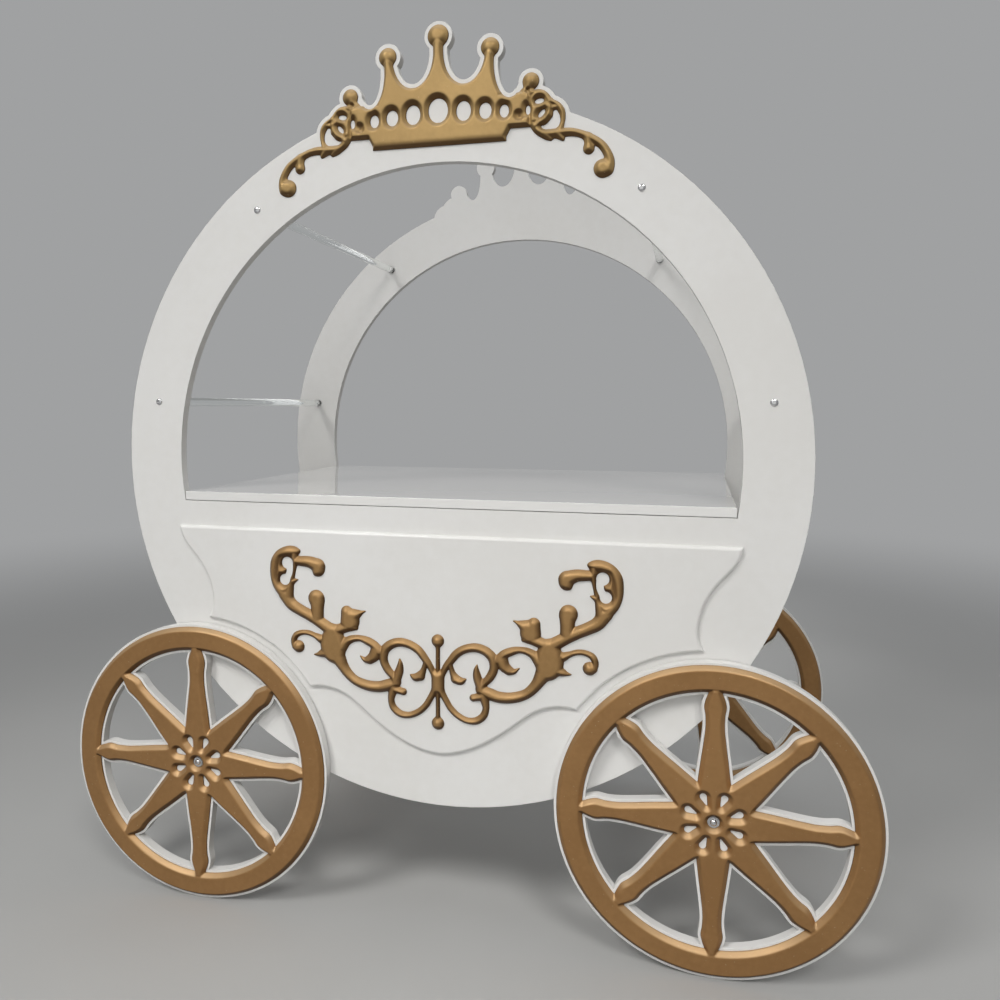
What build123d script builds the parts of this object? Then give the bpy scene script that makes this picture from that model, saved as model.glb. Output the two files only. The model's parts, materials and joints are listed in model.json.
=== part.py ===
from build123d import *
import os
from math import cos, radians, sin, sqrt

# Candy cart in the shape of a round carriage. Two round boards stand one behind the other, each with a
# window and a crown-shaped top, and carry a countertop, a storage box and clear rods between them. Each
# board has two spoked wheels in front of it. Millimetres, +Z up, front towards -Y, origin on the floor
# under the middle.

# Round boards
disc_radius = 700
board = 18
ring_width = 123
sill_drop = 97.5
clear_depth = 737

# Crown on top of the boards, measured from the middle of the crown's base
crown_sink = 93
crown_backing = 8
crown_base_half = 135
crown_foot_half = 152
crown_foot_height = 26
crown_waist = 38
crown_shoulder_half = 182
crown_shoulder = 88
crown_flank_half = 126
crown_stem_half = 112
crown_stem_top = 174
crown_spire_half = 10
crown_balls = ((0, 208, 20), (103, 177, 18), (182, 107, 16))
crown_valleys = ((52, 179, 42, 65), (141, 149, 31, 68))
crown_ovals = ((0, 67, 19.5, 23), (51, 62.5, 14.5, 18.5), (94, 59.5, 12, 15), (131, 56, 9, 12),
               (177, 54, 4.5, 8.5))

# Knots and tails at the crown's sides: strokes of (across, up, half width), and gaps of (across, up, radius)
knot_strokes = (
    ((181, 104, 13), (175, 92, 13), (172, 84, 14)),
    ((186, 84, 6), (195, 86, 5), (205, 83, 5), (212, 77, 5.5), (217, 69, 6)),
    ((219, 66, 5.5), (229, 62.5, 5), (237, 55.5, 5.5), (241.5, 46, 6), (242, 35, 6), (240, 24, 6),
     (237, 14, 7)),
    ((187, 61, 4), (196, 61, 3), (206, 61.5, 3), (214, 63.5, 4.5), (219, 66, 5.5)),
    ((183, 86, 6), (184, 74, 4), (186, 63, 5), (186.5, 52, 5), (186, 42, 6), (188, 33, 8)),
    ((217, 64, 5), (219, 54, 6.5), (215, 43, 7), (207, 34, 7), (198, 28, 7), (192, 22, 7)),
)
knot_gaps = ((197, 72, 9.5), (201, 49, 10.5), (222, 35, 17))
tail_strokes = (
    ((187, 28, 8), (196, 15.5, 7), (205, 9.5, 6.5), (218, 7.5, 7.5), (232, 9, 7), (245, 8.5, 7),
     (260, 8, 6.5), (273, 5, 6.3), (287, -1, 6.5), (302, -9, 6.3), (315, -18, 5.5), (326.5, -34.5, 6),
     (331, -46, 6.5), (332, -56, 7), (328.5, -65, 8.5)),
    ((206, 8, 6), (213, 3.5, 4.5), (220.5, -2, 2.2)),
    ((230, 8, 6), (237.5, 2.5, 5), (244.5, -4, 2)),
    ((290, -4, 5.5), (291, -14, 6), (291.5, -24, 8)),
)
tail_beads = ((318.5, -62.5, 16.5), (292, -25, 9.2))

# Carved reliefs and the apron under the window
relief = 10
apron_thickness = 9
apron_edge = 6
apron_half = 580
apron_top_drop = 150
apron_bottom_drop = 592
apron_wheel_gap = 15
apron_corner_angle = 94
apron_notch_angle = 145
apron_side_curve = ((0.12, 0.14), (0.60, 0.34), (1.01, 0.57), (1.15, 0.76), (1.12, 0.91))
apron_wave_curve = ((0.12, -0.03), (0.265, 0.06), (0.444, 0.37), (0.64, 0.71), (0.82, 0.92))

# Scroll on the apron: each stroke is a list of (across, up, half width) about the middle of the spindle
scroll_drop = 444
spindle_half = 83.5
spindle_width = 9
spindle_ball = 13
collar_width = 27
collar_height = 48
scroll_strokes = (
    ((8, 14, 6), (17, 32, 7), (27, 45.5, 8), (40.5, 61.5, 8.5), (59.5, 72, 8.5), (80, 75, 9),
     (100, 68.5, 9.5), (112, 57, 10), (115, 37, 9), (106, 17, 8.5), (95, 5, 7.5), (87, -6, 8)),
    ((26.5, 36, 4.5), (30.5, 21.5, 6), (36.5, 9.5, 9)),
    ((36.5, 9.5, 9), (47, 6, 8), (58, 10.5, 1.2)),
    ((6, -16, 7), (16, -34, 6.5), (25.5, -49.5, 6.5), (42, -64.5, 6.5), (62, -72.5, 6.5), (81, -70.5, 7.5),
     (94.5, -59, 7.5), (99, -43.5, 7), (97, -31, 8.5), (93, -18, 9)),
    ((73, -25.5, 7.5), (80, -24, 7.5), (90, -21, 9)),
    ((80.5, 41, 1.2), (79.5, 32, 5), (81, 18, 8.5), (85, 5.5, 9.5), (90, -6, 10)),
    ((88, -8, 10), (105.5, -14.5, 12), (121, -19, 11.5), (140, -20, 11), (161, -16.5, 10.5), (179, -9, 10),
     (192.5, 2.5, 10.5), (203.5, 17, 12), (211.5, 31, 15)),
    ((217, 37, 17), (223, 47, 25), (225, 57, 28), (225, 68, 26.5), (225, 78, 22), (225, 84, 19.5)),
    ((124, 53, 10), (134.5, 65, 9), (149, 72.5, 8.5), (166, 77, 6.5), (182, 75, 7.5), (195.5, 68, 9.5),
     (205.5, 57, 12)),
    ((130.5, 54, 13), (135.5, 43, 12), (144.5, 35, 9)),
    ((144.5, 35, 9), (153.5, 33.5, 6), (165.5, 40.5, 1.2)),
    ((243, 42, 10), (251, 39.5, 7.5), (258, 37.5, 4.5), (267, 36.5, 1.3)),
    ((252, 70, 9), (264, 75.5, 6), (280.5, 81, 5.5), (294.5, 80.5, 5.5), (308.5, 73.5, 6.5),
     (313.5, 61.5, 6.5), (311, 51, 7)),
    ((213, 92, 11), (194, 99, 11)),
    ((187.5, 111, 20), (194.5, 130, 12.5)),
    ((180, 120, 10), (166, 127.5, 4), (155, 134.5, 1.2)),
    ((174, 97.5, 4.5), (190, 101, 9)),
    ((234, 93, 13), (259, 108, 12), (278.5, 118.5, 12), (298, 127.5, 12), (317, 138.5, 13),
     (331, 157, 14.5)),
    ((336, 162, 12), (348, 174.5, 10), (355.5, 190.5, 8.5), (356, 209, 9.5), (353, 227.5, 10),
     (344, 241.5, 9), (328, 248, 11), (310.5, 249.5, 10), (303, 249.5, 6.5)),
    ((259.5, 148, 16), (259.5, 136, 14.5), (259.5, 116, 14)),
    ((324, 158, 11), (318.5, 180.5, 7), (314, 196.5, 4.5), (311.5, 211, 5), (310, 227, 8)),
    ((309, 229.5, 9), (294.5, 229.5, 10.5), (276.5, 228.5, 12), (259.5, 222.5, 14.5)),
    ((257.5, 219, 14), (261.5, 211, 11), (266, 202.5, 5.5)),
    ((309.5, 228, 8), (309, 243, 8)),
    ((350, 206.5, 7), (343, 206, 3.5), (334, 207, 1.2)),
    ((314, 186.5, 6), (309, 188.5, 4), (303, 190.5, 1.3)),
)
scroll_beads = ((187.5, 111, 20), (261.5, 153.5, 18), (257, 221, 14.5), (302.5, 51, 13))

# Wheels: a spoked board with a carved relief on its front face
wheel_radius = 298
wheel_margin = 5
rim_width = 50
spoke_count = 8
hub_radius = 72
spoke_curve = ((0, 30), (0.25, 24.8), (0.45, 20.2), (0.62, 17.3), (0.75, 17.8), (0.85, 20),
               (0.93, 16.8), (1, 12))
spoke_root = 8
petal_reach = 50
petal_radius = 7
petal_tip = 34.5
petal_tip_radius = 2
hub_recess = 14
wheel_gap = 3
axle_spread = 535
axle_drop = 658

# Axles: each wheel turns on a bolt, held by an arm on the back of its round board
bolt_radius = 4
bolt_head_radius = 7
bolt_head_height = 4.4
bolt_tail = 1.5
bush_radius = 8
bush_proud = 0.5
washer_radius = 10
washer_thickness = 1.6
spacer_radius = 8
nut_across = 13
nut_height = 6.5
arm_width = 30
arm_thickness = 6
arm_tilt = 45
arm_overlap = 160
arm_screw_inset = 40
arm_screw_pitch = 50
arm_screw_count = 3

# Clear rods between the rings
rod_radius = 10
rod_angles = (10.2, 52.4)
rod_screw_radius = 2.5
rod_screw_grip = 22
rod_screw_head = 6.5
rod_screw_dome = 3.5

# Countertop and the storage box under it
top_side_gap = 1
sill_gap = 1.5
top_edge = 1
box_half = 470
box_wheel_gap = 14
batten_width = 30
batten_height = 20
batten_gap = 2

# Corner brackets and their screws
bracket_leg = 30
bracket_thickness = 2
bracket_width = 20
bracket_hole_reach = 19
floor_bracket_spread = 300
wood_screw_radius = 1.75
wood_screw_head = 3.5
wood_screw_head_height = 2
wood_screw_length = 14
screw_dome_share = 0.6

# Clearances
running_clearance = 0.05
seat_clearance = 0.1
axial_play = 0.2
screw_tip_gap = 1

# Places that follow from the sizes
disc_height = wheel_radius + axle_drop
window_radius = disc_radius - ring_width
crown_base = disc_radius - crown_sink
crown_flank_top = crown_valleys[-1][1]
rod_circle = disc_radius - ring_width / 2
relief_radius = wheel_radius - wheel_margin
rim_inner = relief_radius - rim_width
boards_depth = clear_depth + 2 * board
front_reach = wheel_gap + board + relief
rear_reach = arm_thickness + nut_height + bolt_tail
front_face = (front_reach - boards_depth - rear_reach) / 2
rear_face = front_face + board + clear_depth
inner_front = front_face + board
top_underside = disc_height - sill_drop + sill_gap
top_half = sqrt(window_radius**2 - sill_drop**2) - top_side_gap
box_floor = 2 * wheel_radius + box_wheel_gap
box_inner_half = box_half - board
side_bracket_height = (box_floor + board + top_underside) / 2
arm_run = axle_spread * cos(radians(arm_tilt)) + axle_drop * sin(radians(arm_tilt))
arm_miss = axle_drop * cos(radians(arm_tilt)) - axle_spread * sin(radians(arm_tilt))
arm_free = arm_run - sqrt(disc_radius**2 - arm_miss**2)
arm_length = arm_free + arm_overlap
ends = (("front", front_face), ("rear", rear_face))
sides = (("left", -1), ("right", 1))

os.makedirs("parts", exist_ok=True)


def face_plane(depth, across=0, height=disc_height):
    """Upright plane that looks to the front, at a depth, with its origin at a height above the floor."""
    return Plane(origin=(across, depth, height), x_dir=(1, 0, 0), z_dir=(0, -1, 0))


def back_plane(depth, across=0, height=disc_height):
    """Upright plane that looks to the back."""
    return Plane(origin=(across, depth, height), x_dir=(-1, 0, 0), z_dir=(0, 1, 0))


def write(builder, name):
    """Labels a finished piece and writes its file."""
    builder.part.label = name
    export_step(builder.part, f"parts/{name}.step")


def stroke(stations, margin=0):
    """Flat band through stations of (across, up, half width) with round ends, grown by margin."""
    left = []
    right = []
    headings = []
    for index, (across, up, half) in enumerate(stations):
        before = stations[max(index - 1, 0)]
        after = stations[min(index + 1, len(stations) - 1)]
        heading = Vector(after[0] - before[0], after[1] - before[1]).normalized()
        aside = Vector(-heading.Y, heading.X) * (half + margin)
        left.append(Vector(across, up) + aside)
        right.append(Vector(across, up) - aside)
        headings.append(heading * (half + margin))
    start = (left[0] + right[0]) / 2 - headings[0]
    finish = (left[-1] + right[-1]) / 2 + headings[-1]
    with BuildSketch() as band:
        with BuildLine():
            Spline(*left)
            ThreePointArc(left[-1], finish, right[-1])
            Spline(*reversed(right))
            ThreePointArc(right[0], start, left[0])
        make_face()
    return band.sketch


def knot_bands(margin):
    """Bands of the two knots with their tails, grown by margin."""
    with BuildSketch() as bands:
        for stations in knot_strokes + tail_strokes:
            add(stroke(stations, margin))
        for across, up, radius in tail_beads:
            with Locations((across, up)):
                Circle(radius + margin)
        mirror(about=Plane.YZ)
    return bands.sketch


def crown_outline(margin):
    """Outline of the crown with its knots and tails, grown by margin, about the middle of its base."""
    with BuildSketch() as crown:
        for half, top in ((crown_stem_half, crown_stem_top), (crown_flank_half, crown_flank_top),
                          (crown_spire_half, crown_balls[0][1])):
            with Locations((0, crown_waist)):
                Rectangle(2 * (half + margin), top - crown_waist, align=(Align.CENTER, Align.MIN))
        with Locations((0, crown_foot_height - margin)):
            Rectangle(2 * (crown_shoulder_half + margin), crown_shoulder - crown_foot_height + 2 * margin,
                      align=(Align.CENTER, Align.MIN))
        for across, up, wide, high in crown_valleys:
            with Locations((across, up), (-across, up)):
                Ellipse(wide - margin, high - margin, mode=Mode.SUBTRACT)
        with BuildLine():
            foot = Line((0, -margin), (crown_base_half + margin, -margin))
            curve = TangentArc(foot @ 1, (crown_foot_half + margin, crown_foot_height), tangent=(0, 1))
            Polyline(curve @ 1, (crown_foot_half + margin, crown_waist + margin),
                     (0, crown_waist + margin), foot @ 0)
        make_face()
        for across, up, radius in crown_balls + knot_gaps:
            with Locations((across, up)):
                Circle(radius + margin)
        mirror(about=Plane.YZ)
        add(knot_bands(margin))
    return crown.sketch


def crown_face():
    """The carved crown: its outline, opened by the ovals and by the gaps between the knots' bands."""
    with BuildSketch() as crown:
        add(crown_outline(0))
        for across, up, wide, high in crown_ovals:
            with Locations((across, up), (-across, up)):
                Ellipse(wide, high, mode=Mode.SUBTRACT)
        for across, up, radius in knot_gaps:
            with Locations((across, up), (-across, up)):
                Circle(radius, mode=Mode.SUBTRACT)
        add(knot_bands(0))
    return crown.sketch


def window_face():
    """Window: a circle about the board's middle, closed below by the sill."""
    with BuildSketch() as window:
        Circle(window_radius)
        with Locations((0, -sill_drop)):
            Rectangle(2 * window_radius, window_radius, align=(Align.CENTER, Align.MAX), mode=Mode.SUBTRACT)
    return window.sketch


def between(start, finish, shares):
    """Points at shares of the way across and down from start to finish."""
    run = finish - start
    return [start + Vector(run.X * across, run.Y * down) for across, down in shares]


def apron_face():
    """Apron: straight top, curved sides, hollows that follow the wheels, and a waved bottom."""
    hollow = wheel_radius + apron_wheel_gap
    axle = Vector(axle_spread, -axle_drop)
    rim_points = []
    for angle in (apron_corner_angle, (apron_corner_angle + apron_notch_angle) / 2, apron_notch_angle):
        rim_points.append(axle + Vector(cos(radians(angle)), sin(radians(angle))) * hollow)
    corner, middle, notch = rim_points
    shoulder = Vector(apron_half, -apron_top_drop)
    lowest = Vector(0, -apron_bottom_drop)
    with BuildSketch() as apron:
        with BuildLine():
            Polyline(lowest, (0, -apron_top_drop), shoulder)
            Spline(shoulder, *between(shoulder, corner, apron_side_curve), corner)
            ThreePointArc(corner, middle, notch)
            Spline(notch, *between(notch, lowest, apron_wave_curve), lowest)
        make_face()
        mirror(about=Plane.YZ)
    return apron.sketch


def scroll_face():
    """The carved scroll: a spindle in the middle and the same strokes on both sides of it."""
    with BuildSketch() as scroll:
        Rectangle(spindle_width, 2 * spindle_half)
        Rectangle(collar_width, collar_height)
        with Locations((0, spindle_half), (0, -spindle_half)):
            Circle(spindle_ball)
        for stations in scroll_strokes:
            add(stroke(stations))
        for across, up, radius in scroll_beads:
            with Locations((across, up)):
                Circle(radius)
        mirror(about=Plane.YZ)
    return scroll.sketch


def spoke(margin):
    """One spoke along +X from the middle of the wheel into its rim."""
    length = rim_inner - hub_radius
    upper = [Vector(hub_radius + share * length, half + margin) for share, half in spoke_curve]
    lower = [Vector(point.X, -point.Y) for point in reversed(upper)]
    root = Vector(spoke_root, 0)
    with BuildSketch() as arm:
        with BuildLine():
            Line((0, 0), upper[0])
            Spline(*upper)
            Polyline(upper[-1], upper[-1] + root, lower[0] + root, lower[0])
            Spline(*lower)
            Line(lower[-1], (0, 0))
        make_face()
    return arm.sketch


def wheel_face(margin):
    """Rim and spokes of a wheel, grown by margin."""
    with BuildSketch() as wheel:
        Circle(relief_radius + margin)
        Circle(rim_inner - margin, mode=Mode.SUBTRACT)
        with PolarLocations(0, spoke_count):
            add(spoke(margin))
    return wheel.sketch


def petal():
    """Teardrop opening of the hub, pointed towards the wheel's middle, on +X."""
    with BuildSketch() as drop:
        with BuildLine():
            CenterArc((petal_reach, 0), petal_radius, 0, 360)
            CenterArc((petal_tip, 0), petal_tip_radius, 0, 360)
        make_hull()
    return drop.sketch


def screw(head_radius, head_height, shank_radius, shank_length):
    """Dome-headed screw along +Z: its head stands on the XY plane and its shank runs down from it."""
    with BuildPart() as fastener:
        Cylinder(head_radius, head_height, align=(Align.CENTER, Align.CENTER, Align.MIN))
        fillet(fastener.edges().group_by(Axis.Z)[-1], head_height * screw_dome_share)
        Cylinder(shank_radius, shank_length, align=(Align.CENTER, Align.CENTER, Align.MAX))
    return fastener.part


def arm_angle(side):
    """Direction of an axle arm in the board's plane, from the axle towards the board's middle."""
    return 90 + side * (90 - arm_tilt)


def along_arm(side, distance):
    """Point on an arm's middle line, at a distance from its axle."""
    angle = radians(arm_angle(side))
    return (side * axle_spread + distance * cos(angle), -axle_drop + distance * sin(angle))


# Places of the rods, arm screws and bracket screws in the boards' plane
rod_places = []
arm_screw_places = []
for side_name, side in sides:
    for angle in rod_angles:
        rod_places.append((side * rod_circle * cos(radians(angle)), rod_circle * sin(radians(angle))))
    for index in range(arm_screw_count):
        inset = arm_screw_inset + index * arm_screw_pitch
        arm_screw_places.append(along_arm(side, arm_free + inset))
floor_bracket_up = box_floor + board + bracket_hole_reach - disc_height
side_bracket_across = box_inner_half - bracket_hole_reach
side_bracket_up = side_bracket_height - disc_height
bracket_places = []
for side_name, side in sides:
    bracket_places.append((side * floor_bracket_spread, floor_bracket_up))
    bracket_places.append((side * side_bracket_across, side_bracket_up))
wood_hole = wood_screw_radius + seat_clearance
wood_screw_reach = wood_screw_length - bracket_thickness
arm_screw_reach = wood_screw_length - arm_thickness + bracket_thickness

# Round boards: window, crown-shaped top, holes for the rod screws, and blind holes from the hidden sides
for end, face in ends:
    inside = face + board if end == "front" else face
    inside_plane = back_plane(inside) if end == "front" else face_plane(inside)
    with BuildPart() as round_board:
        with BuildSketch(face_plane(face)):
            Circle(disc_radius)
            with Locations((0, crown_base)):
                add(crown_outline(crown_backing))
            add(window_face(), mode=Mode.SUBTRACT)
            with Locations(*rod_places):
                Circle(rod_screw_radius + seat_clearance, mode=Mode.SUBTRACT)
        extrude(amount=-board)
        with BuildSketch(back_plane(face + board)):
            with Locations(*arm_screw_places):
                Circle(wood_hole)
        extrude(amount=-arm_screw_reach, mode=Mode.SUBTRACT)
        with BuildSketch(inside_plane):
            with Locations(*bracket_places):
                Circle(wood_hole)
        extrude(amount=-wood_screw_reach, mode=Mode.SUBTRACT)
    write(round_board, f"{end}_board")

# Apron on the front board, its front edge rounded
with BuildPart() as apron:
    with BuildSketch(face_plane(front_face)):
        add(apron_face())
    extrude(amount=apron_thickness)
    fillet(apron.faces().sort_by(Axis.Y)[0].edges(), apron_edge)
write(apron, "apron")

# Gold reliefs on the apron and on the crown
with BuildPart() as scroll_relief:
    with BuildSketch(face_plane(front_face - apron_thickness, 0, disc_height - scroll_drop)):
        add(scroll_face())
    extrude(amount=relief)
write(scroll_relief, "scroll_relief")

with BuildPart() as crown_relief:
    with BuildSketch(face_plane(front_face, 0, disc_height + crown_base)):
        add(crown_face())
    extrude(amount=relief)
write(crown_relief, "crown_relief")

# Clear rods between the rings, bored at both ends for the screws
for (across, up), place in zip(rod_places, ("lower_left", "upper_left", "lower_right", "upper_right")):
    with BuildPart() as rod:
        with BuildSketch(face_plane(inner_front, across, disc_height + up)):
            Circle(rod_radius)
        extrude(amount=-clear_depth)
        for plane in (face_plane(inner_front, across, disc_height + up),
                      back_plane(rear_face, across, disc_height + up)):
            with BuildSketch(plane):
                Circle(rod_screw_radius + seat_clearance)
            extrude(amount=-rod_screw_grip, mode=Mode.SUBTRACT)
    write(rod, f"{place}_rod")

rod_screw = screw(rod_screw_head, rod_screw_dome, rod_screw_radius, board + rod_screw_grip - screw_tip_gap)
with BuildPart() as rod_screws:
    for across, up in rod_places:
        with Locations(face_plane(front_face, across, disc_height + up),
                       back_plane(rear_face + board, across, disc_height + up)):
            add(rod_screw)
write(rod_screws, "rod_screws")

# Countertop just above the two sills, with battens that drop between the boards
with BuildPart() as countertop:
    with BuildSketch(Plane.XY.offset(top_underside)):
        with Locations((0, front_face + boards_depth / 2)):
            Rectangle(2 * top_half, boards_depth)
    extrude(amount=board)
    fillet(countertop.faces().sort_by(Axis.Z)[-1].edges(), top_edge)
write(countertop, "countertop")

batten_offset = batten_gap + batten_width / 2
for end, depth in (("front", inner_front + batten_offset), ("rear", rear_face - batten_offset)):
    with BuildPart() as batten:
        with BuildSketch(Plane.XY.offset(top_underside)):
            with Locations((0, depth)):
                Rectangle(2 * (box_inner_half - batten_gap), batten_width)
        extrude(amount=-batten_height)
    write(batten, f"{end}_batten")

# Storage box: a floor between the boards and two side panels that stand on it under the countertop
middle_depth = (inner_front + rear_face) / 2
with BuildPart() as bottom_panel:
    with BuildSketch(Plane.XY.offset(box_floor)):
        with Locations((0, middle_depth)):
            Rectangle(2 * box_half, clear_depth)
    extrude(amount=board)
    with BuildSketch(Plane.XY.offset(box_floor + board)):
        for side_name, side in sides:
            with Locations((side * floor_bracket_spread, inner_front + bracket_hole_reach),
                           (side * floor_bracket_spread, rear_face - bracket_hole_reach)):
                Circle(wood_hole)
    extrude(amount=-wood_screw_reach, mode=Mode.SUBTRACT)
write(bottom_panel, "bottom_panel")

for side_name, side in sides:
    inner_side = Plane(origin=(side * box_inner_half, 0, 0), x_dir=(0, 1, 0), z_dir=(-side, 0, 0))
    with BuildPart() as side_panel:
        with BuildSketch(Plane.XY.offset(box_floor + board)):
            with Locations((side * (box_half - board / 2), middle_depth)):
                Rectangle(board, clear_depth)
        extrude(amount=top_underside - box_floor - board)
        with BuildSketch(inner_side):
            with Locations((inner_front + bracket_hole_reach, -side * side_bracket_height),
                           (rear_face - bracket_hole_reach, -side * side_bracket_height)):
                Circle(wood_hole)
        extrude(amount=-wood_screw_reach, mode=Mode.SUBTRACT)
    write(side_panel, f"{side_name}_side_panel")


def bracket():
    """Angle bracket in its corner: one leg on the XY plane along +X, one leg up along the YZ plane."""
    with BuildPart() as angle:
        with BuildSketch(Plane.XZ.offset(-bracket_width / 2)):
            with BuildLine():
                Polyline((0, 0), (bracket_leg, 0), (bracket_leg, bracket_thickness),
                         (bracket_thickness, bracket_thickness), (bracket_thickness, bracket_leg),
                         (0, bracket_leg), close=True)
            make_face()
        extrude(amount=bracket_width)
        with Locations((bracket_hole_reach, 0, 0)):
            Cylinder(wood_hole, 2 * bracket_leg, mode=Mode.SUBTRACT)
        with Locations((0, 0, bracket_hole_reach)):
            Cylinder(wood_hole, 2 * bracket_leg, rotation=(0, 90, 0), mode=Mode.SUBTRACT)
    return angle.part


# Corner brackets on the box's floor and sides, and the screws through both of their legs
bracket_planes = []
for side_name, side in sides:
    for depth, inward in ((inner_front, 1), (rear_face, -1)):
        bracket_planes.append(Plane(origin=(side * floor_bracket_spread, depth, box_floor + board),
                                    x_dir=(0, inward, 0), z_dir=(0, 0, 1)))
        bracket_planes.append(Plane(origin=(side * box_inner_half, depth, side_bracket_height),
                                    x_dir=(0, inward, 0), z_dir=(-side, 0, 0)))
corner_bracket = bracket()
with BuildPart() as corner_brackets:
    with Locations(*bracket_planes):
        add(corner_bracket)
write(corner_brackets, "corner_brackets")

wood_screw = screw(wood_screw_head, wood_screw_head_height, wood_screw_radius,
                   wood_screw_length - screw_tip_gap)
with BuildPart() as bracket_screws:
    for plane in bracket_planes:
        on_floor = plane.origin + plane.x_dir * bracket_hole_reach + plane.z_dir * bracket_thickness
        on_board = plane.origin + plane.z_dir * bracket_hole_reach + plane.x_dir * bracket_thickness
        with Locations(Plane(origin=on_floor, z_dir=plane.z_dir), Plane(origin=on_board, z_dir=plane.x_dir)):
            add(wood_screw)
write(bracket_screws, "bracket_screws")

# Wheels, axle arms and everything on the axles
bolt_planes = []
washer_planes = []
spacer_planes = []
nut_planes = []
arm_screw_planes = []
for end, face in ends:
    wheel_back = face - wheel_gap
    wheel_front = wheel_back - board
    arm_front = face + board
    for across, up in arm_screw_places:
        arm_screw_planes.append(back_plane(arm_front + arm_thickness, across, disc_height + up))
    for side_name, side in sides:
        place = f"{end}_{side_name}"
        axle_across = side * axle_spread
        washer_planes.append(face_plane(wheel_front - bush_proud - axial_play, axle_across, wheel_radius))
        bolt_planes.append(washer_planes[-1].offset(washer_thickness))
        spacer_planes.append(face_plane(arm_front, axle_across, wheel_radius))
        nut_planes.append(back_plane(arm_front + arm_thickness, axle_across, wheel_radius))

        with BuildPart() as wheel_board:
            with BuildSketch(face_plane(wheel_back, axle_across, wheel_radius)):
                add(wheel_face(wheel_margin))
                Circle(bush_radius + seat_clearance, mode=Mode.SUBTRACT)
            extrude(amount=board)
        write(wheel_board, f"{place}_wheel_board")

        with BuildPart() as wheel_relief:
            with BuildSketch(face_plane(wheel_front, axle_across, wheel_radius)):
                add(wheel_face(0))
                Circle(hub_recess, mode=Mode.SUBTRACT)
                with PolarLocations(0, spoke_count, start_angle=180 / spoke_count):
                    add(petal(), mode=Mode.SUBTRACT)
            extrude(amount=relief)
        write(wheel_relief, f"{place}_wheel_relief")

        with BuildPart() as hub_bush:
            with BuildSketch(face_plane(wheel_back + bush_proud, axle_across, wheel_radius)):
                Circle(bush_radius)
                Circle(bolt_radius + running_clearance, mode=Mode.SUBTRACT)
            extrude(amount=board + 2 * bush_proud)
        write(hub_bush, f"{place}_hub_bush")

        with BuildPart() as axle_arm:
            with BuildSketch(face_plane(arm_front)):
                with Locations(along_arm(side, arm_length / 2)):
                    SlotCenterToCenter(arm_length, arm_width, rotation=arm_angle(side))
                with Locations((axle_across, -axle_drop)):
                    Circle(bolt_radius + seat_clearance, mode=Mode.SUBTRACT)
                with Locations(*arm_screw_places):
                    Circle(wood_hole, mode=Mode.SUBTRACT)
            extrude(amount=-arm_thickness)
        write(axle_arm, f"{place}_axle_arm")

arm_screw = screw(wood_screw_head, wood_screw_head_height, wood_screw_radius,
                  arm_thickness + arm_screw_reach - screw_tip_gap)
with BuildPart() as arm_screws:
    with Locations(*arm_screw_planes):
        add(arm_screw)
write(arm_screws, "arm_screws")

bolt_length = washer_thickness + axial_play + bush_proud + board + wheel_gap + board + rear_reach
axle_bolt = screw(bolt_head_radius, bolt_head_height, bolt_radius, bolt_length)
with BuildPart() as axle_bolts:
    with Locations(*bolt_planes):
        add(axle_bolt)
write(axle_bolts, "axle_bolts")

with BuildPart() as axle_washers:
    for plane in washer_planes:
        with BuildSketch(plane):
            Circle(washer_radius)
            Circle(bolt_radius + seat_clearance, mode=Mode.SUBTRACT)
        extrude(amount=washer_thickness)
write(axle_washers, "axle_washers")

with BuildPart() as axle_spacers:
    for plane in spacer_planes:
        with BuildSketch(plane):
            Circle(spacer_radius)
            Circle(bolt_radius + seat_clearance, mode=Mode.SUBTRACT)
        extrude(amount=board + wheel_gap - bush_proud - axial_play)
write(axle_spacers, "axle_spacers")

with BuildPart() as axle_nuts:
    for plane in nut_planes:
        with BuildSketch(plane):
            RegularPolygon(nut_across / 2, 6, major_radius=False)
            Circle(bolt_radius + seat_clearance, mode=Mode.SUBTRACT)
        extrude(amount=nut_height)
write(axle_nuts, "axle_nuts")
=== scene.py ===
import json
import math

import bmesh
import bpy
import numpy as np
from mathutils import Matrix, Vector


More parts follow.
